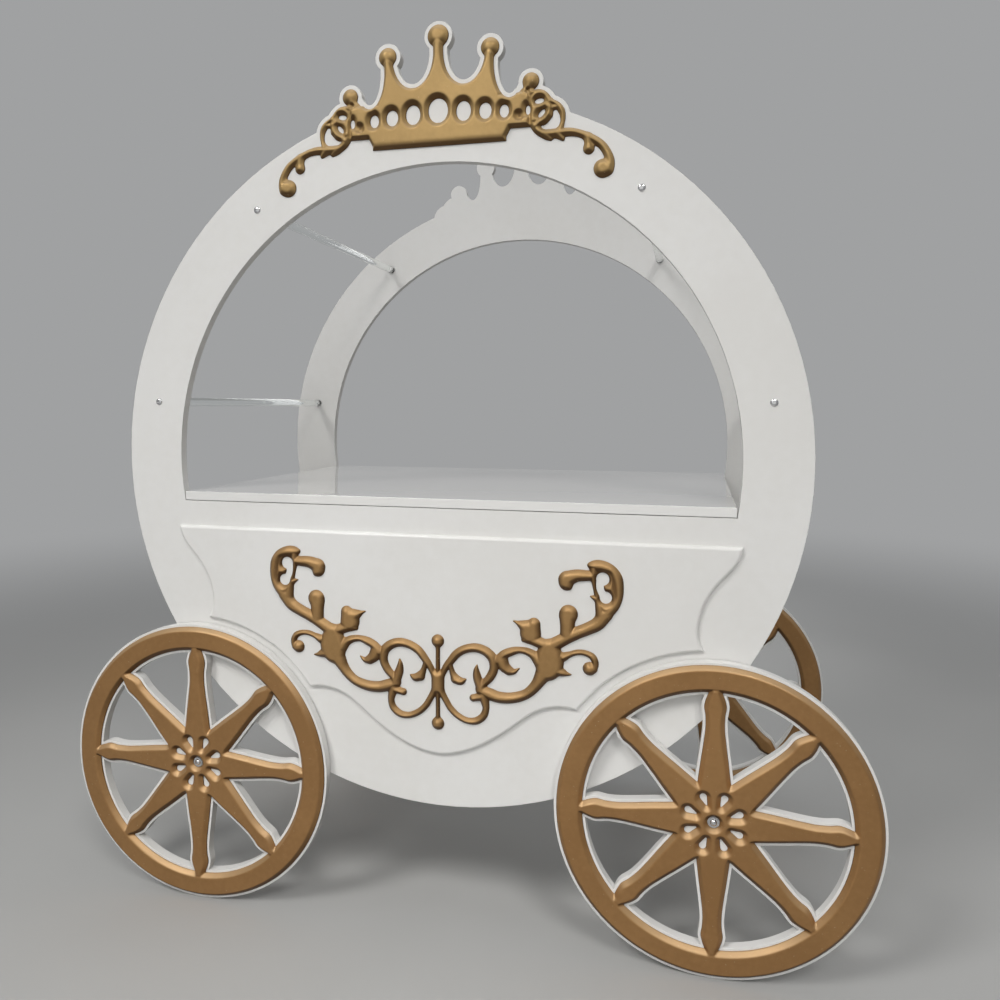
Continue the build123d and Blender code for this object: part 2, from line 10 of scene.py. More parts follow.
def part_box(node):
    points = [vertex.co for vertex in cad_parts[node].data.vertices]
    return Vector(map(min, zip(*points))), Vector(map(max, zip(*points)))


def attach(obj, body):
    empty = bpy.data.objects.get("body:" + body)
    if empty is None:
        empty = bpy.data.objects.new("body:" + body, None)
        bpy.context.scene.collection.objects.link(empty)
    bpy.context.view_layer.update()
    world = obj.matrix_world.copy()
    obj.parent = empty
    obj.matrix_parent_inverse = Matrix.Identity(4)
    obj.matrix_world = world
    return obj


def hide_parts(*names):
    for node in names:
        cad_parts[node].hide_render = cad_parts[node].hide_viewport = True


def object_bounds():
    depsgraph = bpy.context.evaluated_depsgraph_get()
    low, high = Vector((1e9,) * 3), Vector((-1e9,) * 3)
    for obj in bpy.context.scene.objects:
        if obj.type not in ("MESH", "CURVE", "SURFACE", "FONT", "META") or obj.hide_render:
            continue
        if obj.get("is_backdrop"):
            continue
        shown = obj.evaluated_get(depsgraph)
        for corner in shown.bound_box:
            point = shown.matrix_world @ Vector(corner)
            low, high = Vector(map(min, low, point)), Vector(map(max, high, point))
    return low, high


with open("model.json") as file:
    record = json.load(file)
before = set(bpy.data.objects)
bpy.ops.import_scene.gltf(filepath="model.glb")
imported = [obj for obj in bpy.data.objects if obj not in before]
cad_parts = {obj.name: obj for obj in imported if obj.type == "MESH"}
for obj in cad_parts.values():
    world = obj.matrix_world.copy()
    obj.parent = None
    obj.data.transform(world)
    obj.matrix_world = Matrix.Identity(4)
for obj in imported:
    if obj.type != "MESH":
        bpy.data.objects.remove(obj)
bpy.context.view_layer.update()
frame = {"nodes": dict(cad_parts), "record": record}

# Looks of the candy cart, in metres, in the part's frame. Carvings are worked out in millimetres
# from their own middle: the crown from its foot, the scroll from its spindle and a wheel from its hub.
MM = 0.001
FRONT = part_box("front_board")[0].y
APRON_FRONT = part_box("apron")[0].y
DISC_RADIUS = 0.700
DISC_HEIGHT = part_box("front_board")[0].z + DISC_RADIUS
CROWN_HEIGHT = DISC_HEIGHT + 0.607
SCROLL_HEIGHT = DISC_HEIGHT - 0.444
RELIEF = 10 * MM
CORNERS = [f"{end}_{side}" for end in ("front", "rear") for side in ("left", "right")]


# Shader graphs


class Wire:
    """A shader socket that can be used in arithmetic."""

    def __init__(self, graph, socket):
        self.graph = graph
        self.socket = socket

    def math(self, operation, other, swap=False):
        first, second = (other, self) if swap else (self, other)
        return self.graph.node("ShaderNodeMath", {"operation": operation}, {0: first, 1: second})

    def __add__(self, other):
        return self.math("ADD", other)

    def __radd__(self, other):
        return self.math("ADD", other, True)

    def __sub__(self, other):
        return self.math("SUBTRACT", other)

    def __rsub__(self, other):
        return self.math("SUBTRACT", other, True)

    def __mul__(self, other):
        return self.math("MULTIPLY", other)

    def __rmul__(self, other):
        return self.math("MULTIPLY", other, True)


class Graph:
    """The node tree of a material, or of the world."""

    def __init__(self, name, owner=None):
        self.owner = owner or bpy.data.materials.new(name)
        self.owner.use_nodes = True
        self.tree = self.owner.node_tree
        self.tree.nodes.clear()
        self.place = self.node("ShaderNodeTexCoord", output="Object")
        self.normal = self.node("ShaderNodeTexCoord", output="Normal")

    def node(self, kind, settings=None, inputs=None, output=0):
        made = self.tree.nodes.new(kind)
        for key, value in (settings or {}).items():
            setattr(made, key, value)
        for key, value in (inputs or {}).items():
            if isinstance(value, Wire):
                self.tree.links.new(value.socket, made.inputs[key])
            else:
                made.inputs[key].default_value = value
        return Wire(self, made.outputs[output])

    def noise(self, scale, detail=3.0, stretch=(1, 1, 1), roughness=0.5):
        spot = self.node("ShaderNodeMapping", {}, {"Vector": self.place, "Scale": stretch})
        return self.node("ShaderNodeTexNoise", {}, {"Vector": spot, "Scale": scale, "Detail": detail,
                                                    "Roughness": roughness})

    def span(self, value, low, high, out_low=0.0, out_high=1.0):
        return self.node("ShaderNodeMapRange", {"interpolation_type": "SMOOTHSTEP"},
                         {0: value, 1: low, 2: high, 3: out_low, 4: out_high})

    def mix(self, share, first, second):
        pair = [value if isinstance(value, Wire) else (*value, 1.0) for value in (first, second)]
        return self.node("ShaderNodeMix", {"data_type": "RGBA"}, {0: share, 6: pair[0], 7: pair[1]}, 2)

    def attribute(self, name):
        return self.node("ShaderNodeAttribute", {"attribute_name": name}, output="Fac")

    def bump(self, height, strength, distance, edge=0.0):
        """Fine unevenness, on normals that are eased over the edge radius."""
        base = {"Normal": self.node("ShaderNodeBevel", {"samples": 6}, {"Radius": edge})} if edge else {}
        return self.node("ShaderNodeBump", {}, {"Height": height, "Strength": strength,
                                                "Distance": distance, **base})

    def shade(self, **sockets):
        values = {key.replace("_", " "): value for key, value in sockets.items()}
        shader = self.node("ShaderNodeBsdfPrincipled", {}, values)
        self.surface(shader)
        return self.owner

    def surface(self, shader, kind="ShaderNodeOutputMaterial"):
        end = self.tree.nodes.new(kind)
        self.tree.links.new(shader.socket, end.inputs["Surface"])

    def seen(self):
        """One where it is looked at, mirrored or seen through, and zero as light on other things."""
        looked, mirrored, through = (self.node("ShaderNodeLightPath", output=f"Is {kind} Ray")
                                     for kind in ("Camera", "Glossy", "Transmission"))
        return looked.math("MAXIMUM", mirrored).math("MAXIMUM", through)


def white_board(name, edge_shade_share):
    """White lacquer, with painted shade on edges that face sideways or down, by a share."""
    g = Graph(name)
    cloud = g.noise(2.4, 3)
    fine = g.noise(48, 6)
    peel = g.noise(620, 2)
    tone = g.span(cloud * 0.75 + fine * 0.25, 0.35, 0.65)
    lacquer = g.mix(tone, (0.775, 0.768, 0.748), (0.815, 0.812, 0.800))
    flat, up = (g.node("ShaderNodeSeparateXYZ", {}, {0: g.normal}, axis) for axis in ("Y", "Z"))
    # Painted shade: edges that face sideways or down are greyed as if they were out of the light.
    painted_edge_shade = (1 - g.span(flat * flat, 0.2, 0.8)) * g.span(up, 0.35, -0.15) * (0.85 + 0.3 * fine)
    colour = g.mix(painted_edge_shade * edge_shade_share, lacquer, (0.36, 0.345, 0.325))
    rough = 0.30 + 0.10 * g.span(fine, 0.3, 0.7) + 0.06 * cloud
    return g.shade(Base_Color=colour, Roughness=rough, Coat_Weight=0.18 + 0.1 * cloud, Coat_Roughness=0.22,
                   Normal=g.bump(peel * 0.6 + fine * 0.4, 0.10, 0.0004, 0.0016))


def gloss_top():
    g = Graph("gloss_top")
    cloud = g.noise(1.6, 2)
    smear = g.noise(9, 5, (1, 0.35, 1))
    hair = g.noise(70, 4, (0.04, 1.6, 1))
    wave = g.noise(5, 1)
    colour = g.mix(g.span(cloud, 0.3, 0.7), (0.79, 0.785, 0.77), (0.815, 0.815, 0.805))
    rough = 0.055 + 0.05 * g.span(smear, 0.45, 0.75) + 0.03 * g.span(hair, 0.62, 0.8)
    return g.shade(Base_Color=colour, Roughness=rough, Coat_Weight=0.55 + 0.1 * cloud, Coat_Roughness=0.02,
                   Normal=g.bump(wave * 0.8 + hair * 0.2, 0.06, 0.0006, 0.0012))


def gold_paint():
    g = Graph("gold_paint")
    rise, tone, shade_reach = (g.attribute(name) for name in ("rise", "tone", "shade_reach"))
    cloud = g.noise(6, 4)
    fine = g.noise(90, 5)
    grain = g.noise(900, 2)
    fleck = g.span(g.noise(260, 2, roughness=0.3), 0.74, 0.78)
    # Painted shade: the carving's foot goes dark brown up to a share of its rise set per piece, except on
    # sides that face up (lit).
    crest = g.span(rise + (fine - 0.5) * 0.10, 0.0, shade_reach)
    mottle = g.span(cloud * 0.65 + fine * 0.35, 0.36, 0.66)
    facing = g.node("ShaderNodeSeparateXYZ", {}, {0: g.normal}, "Z")
    # tone makes the gold lighter and yellower, fully on the crown and partly on the scroll; on the crown this
    # is partly painted light for its brighter place high on the cart.
    brown = g.mix(mottle, (0.308, 0.164, 0.060), (0.378, 0.209, 0.082))
    yellow = g.mix(mottle, (0.372, 0.242, 0.093), (0.445, 0.297, 0.122))
    plain = g.mix(tone, brown, yellow)
    # Painted highlight: sides that face up are painted paler, less so on pieces whose painted foot shade
    # reaches further up.
    painted_top_light = g.mix(g.span(facing, 0.15, 0.75) * (0.45 - 0.35 * shade_reach), plain, (0.66, 0.49, 0.29))
    # Painted shade: sides that face down are painted dark brown.
    shaded = g.mix(g.span(facing, -0.08, -0.60) * 0.86, painted_top_light, (0.070, 0.030, 0.008))
    lit = g.span(facing, 0.12, 0.5) * 0.8
    painted_foot_shade = g.mix(crest + lit - crest * lit, (0.08, 0.036, 0.011), shaded)
    colour = g.mix(fleck * 0.35, painted_foot_shade, (0.60, 0.47, 0.30))
    rough = 0.42 + 0.08 * fine + 0.08 * cloud
    return g.shade(Base_Color=colour, Metallic=0.52 + 0.14 * mottle, Roughness=rough,
                   Normal=g.bump(grain * 0.45 + fine * 0.55, 0.14, 0.0003))


def clear_rod():
    g = Graph("clear_rod")
    smear = g.noise(40, 3)
    colour = g.mix(smear, (0.93, 0.96, 0.95), (0.97, 0.985, 0.98))
    return g.shade(Base_Color=colour, Roughness=0.02 + 0.06 * g.span(smear, 0.45, 0.75), IOR=1.49,
                   Transmission_Weight=1.0, Normal=g.bump(smear, 0.03, 0.0002))


def plain_steel():
    g = Graph("plain_steel")
    cloud = g.noise(160, 4)
    line = g.noise(900, 3, (1, 0.1, 1))
    colour = g.mix(cloud, (0.52, 0.52, 0.53), (0.68, 0.68, 0.68))
    return g.shade(Base_Color=colour, Metallic=1.0, Roughness=0.15 + 0.12 * g.span(line, 0.3, 0.7),
                   Normal=g.bump(line, 0.12, 0.0001))


def black_steel():
    g = Graph("black_steel")
    fine = g.noise(300, 5)
    wear = g.span(g.noise(30, 6), 0.62, 0.74)
    colour = g.mix(wear, (0.014, 0.014, 0.015), (0.05, 0.05, 0.052))
    return g.shade(Base_Color=colour, Roughness=0.38 + 0.2 * fine, Normal=g.bump(fine, 0.2, 0.0002))


def nylon():
    g = Graph("nylon")
    fine = g.noise(400, 3)
    colour = g.mix(fine, (0.62, 0.61, 0.57), (0.70, 0.69, 0.65))
    return g.shade(Base_Color=colour, Roughness=0.4 + 0.15 * fine, Normal=g.bump(fine, 0.1, 0.0001))


def batten_wood():
    g = Graph("batten_wood")
    grain = g.noise(60, 6, (0.06, 1, 1))
    ring = g.noise(14, 2, (0.1, 1, 1))
    pore = g.noise(420, 3, (0.05, 1, 1))
    tone = g.span(grain * 0.6 + ring * 0.4, 0.35, 0.65)
    colour = g.mix(tone, (0.42, 0.27, 0.14), (0.60, 0.43, 0.25))
    return g.shade(Base_Color=colour, Roughness=0.55 + 0.2 * pore,
                   Normal=g.bump(pore * 0.5 + grain * 0.5, 0.3, 0.0004))


BACKDROP = (0.80, 0.81, 0.82, 1)
BACKDROP_SEEN = 0.44
ROOM_LIGHT = 0.26
FLOOR_FADE = (1.2, 6.0)


def floor_paint():
    """Grey floor that turns into the backdrop away from the cart."""
    g = Graph("floor_paint")
    cloud = g.noise(1.3, 5)
    colour = g.mix(cloud, (0.40, 0.405, 0.40), (0.46, 0.46, 0.455))
    paint = g.node("ShaderNodeBsdfPrincipled", {}, {"Base Color": colour, "Roughness": 0.45 + 0.2 * cloud})
    glow = g.node("ShaderNodeEmission", {}, {"Color": BACKDROP, "Strength": BACKDROP_SEEN})
    away = g.node("ShaderNodeVectorMath", {"operation": "LENGTH"}, {0: g.place}, "Value")
    faded = g.span(away, *FLOOR_FADE) * g.seen()
    g.surface(g.node("ShaderNodeMixShader", {}, {0: faded, 1: paint, 2: glow}))
    return g.owner


MATERIALS = {"white_board": white_board("white_board", 0.0), "gloss_top": gloss_top(), "gold": gold_paint(),
             "clear_rod": clear_rod(), "steel": plain_steel(), "black_steel": black_steel(),
             "nylon": nylon(), "batten_wood": batten_wood()}


def wear(piece, slot):
    """Gives a piece the material of a slot."""
    piece.data.materials.clear()
    piece.data.materials.append(MATERIALS[slot])


# The two rings and the wheel boards get the painted edge shade.
edge_shaded_board = white_board("edge_shaded_board", 0.75)
for row in frame["record"]["subparts"]:
    node = frame["nodes"][row["node"]]
    painted_edge_shade = row["node"] in ("front_board", "rear_board") or row["node"].endswith("wheel_board")
    node.data.materials.clear()
    node.data.materials.append(edge_shaded_board if painted_edge_shade else MATERIALS[row["material_slot"]])


# Carvings: a grid that knows how far each point lies inside the outline and how high the carving is there


def dome(share):
    """Height of a rounded back at a share of its half width."""
    return np.sin(np.clip(share, 0, 1) * math.pi / 2)


def chamfer(share):
    """Height of a sloped edge, eased where it meets the flat top."""
    share = np.clip(share, 0, 1.08)
    return share - np.clip(share - 0.92, 0, 0.16) ** 2 / 0.32


FAR_OUTSIDE = -50.0
BLEND_ROOM = 12


class Carving:
    def __init__(self, low, high, step):
        self.step = step
        self.low = np.array(low, float) - 2 * step
        count = np.ceil((np.array(high, float) + 2 * step - self.low) / step).astype(int) + 1
        self.x = self.low[0] + step * np.arange(count[0])
        self.z = self.low[1] + step * np.arange(count[1])
        self.inside = np.full((count[0], count[1]), FAR_OUTSIDE)
        self.rise = np.zeros((count[0], count[1]))

    def part(self, low, high):
        """Slices of the grid that hold an area, with room for its blends."""
        first = np.maximum(((np.array(low) - BLEND_ROOM - self.low) / self.step).astype(int), 0)
        last = ((np.array(high) + BLEND_ROOM - self.low) / self.step).astype(int) + 2
        return slice(first[0], last[0]), slice(first[1], last[1])

    def join(self, cut, inside, ease):
        """Adds an area, with its inner corners filled over a width of ease."""
        near = np.clip(ease - np.abs(self.inside[cut] - inside), 0, None)
        self.inside[cut] = np.maximum(self.inside[cut], inside) + near**2 / (4 * ease)

    def disc(self, across, up, radius, ease=4):
        cut = self.part((across - radius, up - radius), (across + radius, up + radius))
        self.join(cut, radius - np.hypot(self.x[cut[0], None] - across, self.z[None, cut[1]] - up), ease)

    def stroke(self, stations, ease=4):
        """Adds a smooth band through stations of (across, up, half width)."""
        points = np.array(stations, float)
        reach = np.concatenate(([0], np.cumsum(np.hypot(*np.diff(points[:, :2], axis=0).T))))
        slopes = np.gradient(points, reach, axis=0, edge_order=1)
        widest = points[:, 2].max()
        cut = self.part(points[:, :2].min(axis=0) - widest, points[:, :2].max(axis=0) + widest)
        x, z = self.x[cut[0], None], self.z[None, cut[1]]
        band = np.full(np.broadcast(x, z).shape, FAR_OUTSIDE)
        for spot in np.linspace(0, reach[-1], max(int(reach[-1]), 4)):
            k = min(np.searchsorted(reach, spot, "right") - 1, len(points) - 2)
            run = reach[k + 1] - reach[k]
            t = (spot - reach[k]) / run
            across, up, half = (
                points[k] * (2 * t**3 - 3 * t**2 + 1) + slopes[k] * run * (t**3 - 2 * t**2 + t)
                + points[k + 1] * (3 * t**2 - 2 * t**3) + slopes[k + 1] * run * (t**3 - t**2))
            band = np.maximum(band, max(half, 0.8) - np.hypot(x - across, z - up))
        self.join(cut, band, ease)

    def lift(self, height):
        """Raises the carving to a height, and no lower than it is."""
        self.rise = np.maximum(self.rise, height)

    def cut(self, outside, edge):
        """Takes away an opening: outside is the distance from its rim, and its upper edge is sloped."""
        self.inside = np.minimum(self.inside, outside)
        self.rise = np.minimum(self.rise, chamfer(outside / edge))

    def soften(self, rounds):
        """Eases the creases."""
        for _ in range(rounds):
            padded = np.pad(self.rise, 1, mode="edge")
            sides = padded[:-2, 1:-1] + padded[2:, 1:-1] + padded[1:-1, :-2] + padded[1:-1, 2:]
            self.rise = np.where(self.inside > 0, 0.5 * self.rise + 0.125 * sides, self.rise)

    def outline(self):
        """Vertices, faces and rim edges of the carved surface, cut exactly along the outline."""
        d = self.inside
        solid = d > 0
        index = np.full(d.shape, -1)
        index[solid] = np.arange(solid.sum())
        gx, gz = np.meshgrid(self.x, self.z, indexing="ij")
        points = [np.stack((gx[solid], gz[solid], self.rise[solid]), -1)]
        total = int(solid.sum())
        crossings = []
        for axis in (0, 1):
            near = (slice(None, -1), slice(None)) if axis == 0 else (slice(None), slice(None, -1))
            far = (slice(1, None), slice(None)) if axis == 0 else (slice(None), slice(1, None))
            crossed = solid[near] != solid[far]
            share = np.clip(d[near][crossed] / (d[near][crossed] - d[far][crossed]), 0.03, 0.97)
            spot = [grid[near][crossed] + share * (grid[far][crossed] - grid[near][crossed])
                    for grid in (gx, gz)]
            number = np.full(crossed.shape, -1)
            number[crossed] = total + np.arange(crossed.sum())
            total += int(crossed.sum())
            points.append(np.stack((*spot, np.zeros(len(share))), -1))
            crossings.append(number)
        rows, columns = d.shape[0] - 1, d.shape[1] - 1
        corner = [index[:-1, :-1], index[1:, :-1], index[1:, 1:], index[:-1, 1:]]
        side = [crossings[0][:, :columns], crossings[1][1:, :], crossings[0][:, 1:], crossings[1][:rows, :]]
        case = sum((corner[k] >= 0) * 2**k for k in range(4))
        faces, rim = [], []
        for code in range(1, 16):
            cells = case == code
            if not cells.any():
                continue
            walk = []
            for k in range(4):
                here, after = code >> k & 1, code >> (k + 1) % 4 & 1
                walk += [(corner[k][cells], False)] if here else []
                walk += [(side[k][cells], True)] if here != after else []
            faces += np.stack([numbers for numbers, _ in walk], -1).tolist()
            for k in range(len(walk)):
                (first, on_rim), (second, rim_too) = walk[k], walk[(k + 1) % len(walk)]
                if on_rim and rim_too:
                    rim.append(np.stack((first, second), -1))
        return np.concatenate(points), faces, np.concatenate(rim)


WALL_SHARE = 0.10


def relief_mesh(name, drawn, place, thick, paint):
    """Closed mesh of a carving that stands on the plane at place, towards the front.

    paint is how light and yellow its gold is, which on the crown is partly painted light, and how far up its
    sides the painted shade at the foot stays.
    """
    points, faces, rim = drawn
    wall = WALL_SHARE * thick
    height = wall + points[:, 2] * (thick - wall)
    top = np.stack((place[0] + points[:, 0] * MM, place[1] - height, place[2] + points[:, 1] * MM), -1)
    used = np.unique(rim)
    below = np.full(len(points), -1)
    below[used] = len(points) + np.arange(len(used))
    foot = top[used].copy()
    foot[:, 1] = place[1]
    walls = np.stack((rim[:, 1], rim[:, 0], below[rim[:, 0]], below[rim[:, 1]]), -1).tolist()
    mesh = bpy.data.meshes.new(name)
    mesh.from_pydata(np.concatenate((top, foot)).tolist(), [], faces + walls)
    rise = mesh.attributes.new("rise", "FLOAT", "POINT")
    rise.data.foreach_set("value", np.concatenate((points[:, 2], np.zeros(len(used)))).astype(np.float32))
    for kind, value in zip(("tone", "shade_reach"), paint):
        layer = mesh.attributes.new(kind, "FLOAT", "POINT")
        layer.data.foreach_set("value", np.full(len(mesh.vertices), value, np.float32))
    work = bmesh.new()
    work.from_mesh(mesh)
    border = [edge for edge in work.edges if edge.is_boundary]
    bmesh.ops.triangle_fill(work, use_beauty=False, use_dissolve=False, edges=border, normal=(0, 1, 0))
    bmesh.ops.recalc_face_normals(work, faces=work.faces)
    for face in work.faces:
        face.smooth = True
    for edge in work.edges:
        edge.smooth = all(abs(face.normal.y - 1) > 0.01 for face in edge.link_faces)
    work.to_mesh(mesh)
    work.free()
    return mesh


def show(name, mesh, body, slot, *nodes):
    """Puts a finished mesh in the scene in place of CAD nodes."""
    piece = bpy.data.objects.new(name, mesh)
    bpy.context.scene.collection.objects.link(piece)
    wear(piece, slot)
    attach(piece, body)
    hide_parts(*nodes)
    return piece


def both(stations):
    """The stations and their mirror image."""
    return stations, tuple((-across, *rest) for across, *rest in stations)


# Crown: balls are (across, up, radius), bands go through (across, up, half width),
# and ovals are (across, up, half width, half height, tilt). Each is also mirrored.
CROWN_AREA = ((-345, -82), (345, 230))
CROWN_STEP = 1.4
CROWN_BLOCKS = ((112, 30, 178), (126, 30, 149), (10, 38, 208), (182, 22.5, 88))
CROWN_FLARE = (135, 0.55, 8, 40, 60)
CROWN_BALLS = ((0, 208, 20), (103, 177, 18), (182, 107, 16))
CROWN_KNOT = (
    ((186, 84, 6), (195, 86, 5), (205, 83, 5), (212, 77, 5.5), (217, 69, 6)),
    ((219, 66, 5.5), (229, 62.5, 5), (237, 55.5, 5.5), (241.5, 46, 6), (242, 35, 6), (240, 24, 6),
     (237, 14, 7)),
    ((187, 61, 4), (196, 61, 3), (206, 61.5, 3), (214, 63.5, 4.5), (219, 66, 5.5)),
    ((183, 86, 6), (184, 74, 4), (186, 63, 5), (186.5, 52, 5), (186, 42, 6), (188, 33, 8)),
    ((217, 64, 5), (219, 54, 6.5), (215, 43, 7), (207, 34, 7), (198, 28, 7), (192, 22, 7)),
)
CROWN_TAIL = (
    ((187, 28, 8), (196, 15.5, 8), (205, 9.5, 8), (218, 7, 9), (232, 7.5, 9), (245, 8, 8.5), (260, 7.5, 7.8),
     (273, 4.5, 7.2), (287, -1.5, 7.6), (302, -9.5, 7.8), (315, -19, 7.8), (326, -34.5, 8), (330.5, -46, 8.2),
     (331.5, -56, 8.4), (328.5, -65, 9.5)),
    ((206, 8, 6), (213, 3, 6.5), (220, -2.2, 4)),
    ((230, 8, 6), (237, 2.5, 7), (243, -3.8, 4)),
    ((290, -4, 8.5), (291, -14, 7.8), (291.5, -24, 8.2)),
)
KNOT_FILL = ((198, 72, 16.5), (203, 48, 20), (222, 35, 19), (228, 49, 10))
KNOT_EYES = ((198.5, 69, 8.8, 4.6, 0.15), (203, 46, 8.8, 4, 0.85))
KNOT_SLOT = ((207, 20, 3), (217, 21.5, 6.5), (226.5, 26.5, 10), (230.5, 37, 7), (229, 46.5, 4))
KNOT_EDGE, EYE_EDGE = 6, 8.5
CROWN_NECK = ((181, 104, 12), (176, 92, 9.5), (173, 84, 13))
TAIL_BEADS = ((318.5, -62.5, 17.5), (292, -25.5, 9.8))
CROWN_VALLEYS = ((52, 179, 42, 65), (141, 149, 31, 68))
CROWN_OVALS = ((0, 67, 19.5, 23), (51, 62.5, 14.5, 18.5), (94, 59.5, 12, 15), (131, 56, 9, 12),
               (177, 54, 4.5, 8.5))
CROWN_PITS = ((160.5, 44, 11.5), (176, 89, 6))
CROWN_EDGE = 6
CROWN_FOOT = 14
FOOT_HALF, FOOT_LOW = 160, 0.45
PIT_DEPTH = 0.95
CROWN_ROUND = 15
BAND_ROUND = 12
OVAL_EDGE = 8.7


def slab(x, z, half, low, high):
    """How far a point is inside an upright block."""
    return np.minimum(np.minimum(half - np.abs(x), z - low), high - z)


def oval(x, z, across, up, wide, high):
    """Distance from an oval's rim, positive outside it."""
    share = np.hypot((x - across) / wide, (z - up) / high) + 1e-6
    slope = np.hypot((x - across) / wide**2, (z - up) / high**2) / share + 1e-6
    return (share - 1) / slope


def crown_carving():
    work, knots, slots, tails = (Carving(*CROWN_AREA, CROWN_STEP) for _ in range(4))
    x, z = np.meshgrid(np.abs(work.x), work.z, indexing="ij")
    half, slope, start, rise, top = CROWN_FLARE
    flare = slab(x, z, half + slope * np.clip(z - start, 0, rise), 0, top)
    body = np.maximum.reduce([*(slab(x, z, *block) for block in CROWN_BLOCKS), flare])
    for across, up, wide, high in CROWN_VALLEYS:
        body = np.minimum(body, oval(x, z, across, up, wide, high))
    work.inside = body.copy()
    for stations in both(CROWN_NECK):
        work.stroke(stations)
    for side in (-1, 1):
        for across, up, radius in CROWN_BALLS:
            work.disc(side * across, up, radius)
    foot = np.where(x < FOOT_HALF, FOOT_LOW + (1 - FOOT_LOW) * dome(z / CROWN_FOOT), 1)
    work.lift(np.where(body > work.inside - 2, np.minimum(chamfer(work.inside / CROWN_EDGE), foot),
                       dome(work.inside / CROWN_ROUND)))
    for across, up, wide, high in CROWN_OVALS:
        work.cut(oval(x, z, across, up, wide, high), OVAL_EDGE)
    for across, up, radius in CROWN_PITS:
        hollow = np.clip(1 - np.hypot(x - across, z - up) / radius, 0, 1)
        work.rise = work.rise * (1 - PIT_DEPTH * hollow * (2 - hollow))
    for band in CROWN_KNOT:
        for stations in both(band):
            knots.stroke(stations)
    for band in CROWN_TAIL:
        for stations in both(band):
            tails.stroke(stations)
    for stations in both(KNOT_SLOT):
        slots.stroke(stations)
    for side in (-1, 1):
        for across, up, radius in KNOT_FILL:
            knots.disc(side * across, up, radius)
        for across, up, radius in TAIL_BEADS:
            tails.disc(side * across, up, radius, 6)
    knots.lift(chamfer(knots.inside / KNOT_EDGE))
    knots.cut(-slots.inside, EYE_EDGE)
    for across, up, wide, high, tilt in KNOT_EYES:
        turned = ((x - across) * math.cos(tilt) + (z - up) * math.sin(tilt),
                  (z - up) * math.cos(tilt) - (x - across) * math.sin(tilt))
        knots.cut(oval(*turned, 0, 0, wide, high), EYE_EDGE)
    work.inside = np.maximum.reduce([work.inside, knots.inside, tails.inside])
    work.lift(knots.rise * (knots.inside > 0))
    work.lift(dome(tails.inside / BAND_ROUND))
    work.soften(3)
    return work.outline()


# Scroll: bands go through (across, up, half width) and beads are (across, up, radius). Each is also mirrored.
SCROLL_AREA = ((-368, -99), (368, 262))
SCROLL_STEP = 1.3
SPINDLE_REACH, SPINDLE_HALF, SPINDLE_BALL = 83.5, 4.5, 13
SPINDLE_BLOCK = (13.5, -24, 24)
SCROLL_STROKES = (
    ((8, 14, 6), (17, 32, 7), (27, 45.5, 8), (40.5, 61.5, 8.5), (59.5, 72, 8.5), (80, 75, 9),
     (100, 68.5, 9.5), (112, 57, 10), (115, 37, 9), (106, 17, 8.5), (95, 5, 7.5), (87, -6, 8)),
    ((26.5, 36, 4.5), (30.5, 21.5, 6), (36.5, 9.5, 9)),
    ((36.5, 9.5, 9), (47, 6, 8), (58, 10.5, 1.2)),
    ((6, -16, 7), (16, -34, 6.5), (25.5, -49.5, 6.5), (42, -64.5, 6.5), (62, -72.5, 6.5), (81, -70.5, 7.5),
     (94.5, -59, 7.5), (99, -43.5, 7), (97, -31, 8.5), (93, -18, 9)),
    ((73, -25.5, 7.5), (80, -24, 7.5), (90, -21, 9)),
    ((80.5, 41, 1.2), (79.5, 32, 5), (81, 18, 8.5), (85, 5.5, 9.5), (90, -6, 10)),
    ((88, -8, 10), (105.5, -14.5, 12), (121, -19, 11.5), (140, -20, 11), (161, -16.5, 10.5), (179, -9, 10),
     (192.5, 2.5, 10.5), (203.5, 17, 12), (211.5, 31, 15)),
    ((217, 37, 17), (223, 47, 25), (225, 57, 28), (225, 68, 26.5), (225, 78, 22), (225, 84, 19.5)),
    ((124, 53, 10), (134.5, 65, 9), (149, 72.5, 8.5), (166, 77, 6.5), (182, 75, 7.5), (195.5, 68, 9.5),
     (205.5, 57, 12)),
    ((130.5, 54, 13), (135.5, 43, 12), (144.5, 35, 9)),
    ((144.5, 35, 9), (153.5, 33.5, 6), (165.5, 40.5, 1.2)),
    ((243, 42, 10), (251, 39.5, 7.5), (258, 37.5, 4.5), (267, 36.5, 1.3)),
    ((252, 70, 9), (264, 75.5, 6), (280.5, 81, 5.5), (294.5, 80.5, 5.5), (308.5, 73.5, 6.5),
     (313.5, 61.5, 6.5), (311, 51, 7)),
    ((213, 92, 11), (194, 99, 11)),
    ((187.5, 111, 20), (194.5, 130, 12.5)),
    ((182, 122, 15), (170.5, 127, 8.5), (162, 130.5, 4), (154, 133.5, 1.2)),
    ((174, 97.5, 4.5), (190, 101, 9)),
    ((234, 93, 13), (259, 108, 12), (278.5, 118.5, 12), (298, 127.5, 12), (317, 138.5, 13), (331, 157, 14.5)),
    ((336, 162, 12), (348, 174.5, 10), (355.5, 190.5, 8.5), (356, 209, 9.5), (353, 227.5, 10),
     (344, 241.5, 9), (328, 248, 11), (310.5, 249.5, 10), (303, 249.5, 6.5)),
    ((259.5, 148, 16), (259.5, 136, 14.5), (259.5, 116, 14)),
    ((324, 158, 11), (318.5, 180.5, 7), (314, 196.5, 4.5), (311.5, 211, 5), (310, 227, 8)),
    ((309, 229.5, 9), (294.5, 229.5, 10.5), (276.5, 228.5, 12), (259.5, 222.5, 14.5)),
    ((256, 219, 14.5), (256.5, 213.5, 14), (261.5, 206.5, 7)),
    ((309.5, 228, 8), (309, 243, 8)),
    ((328, 224, 18), (331, 207, 20), (334, 189, 19), (334, 172, 14)),
    ((314, 186.5, 6), (309, 188.5, 4), (303, 190.5, 1.3)),
)
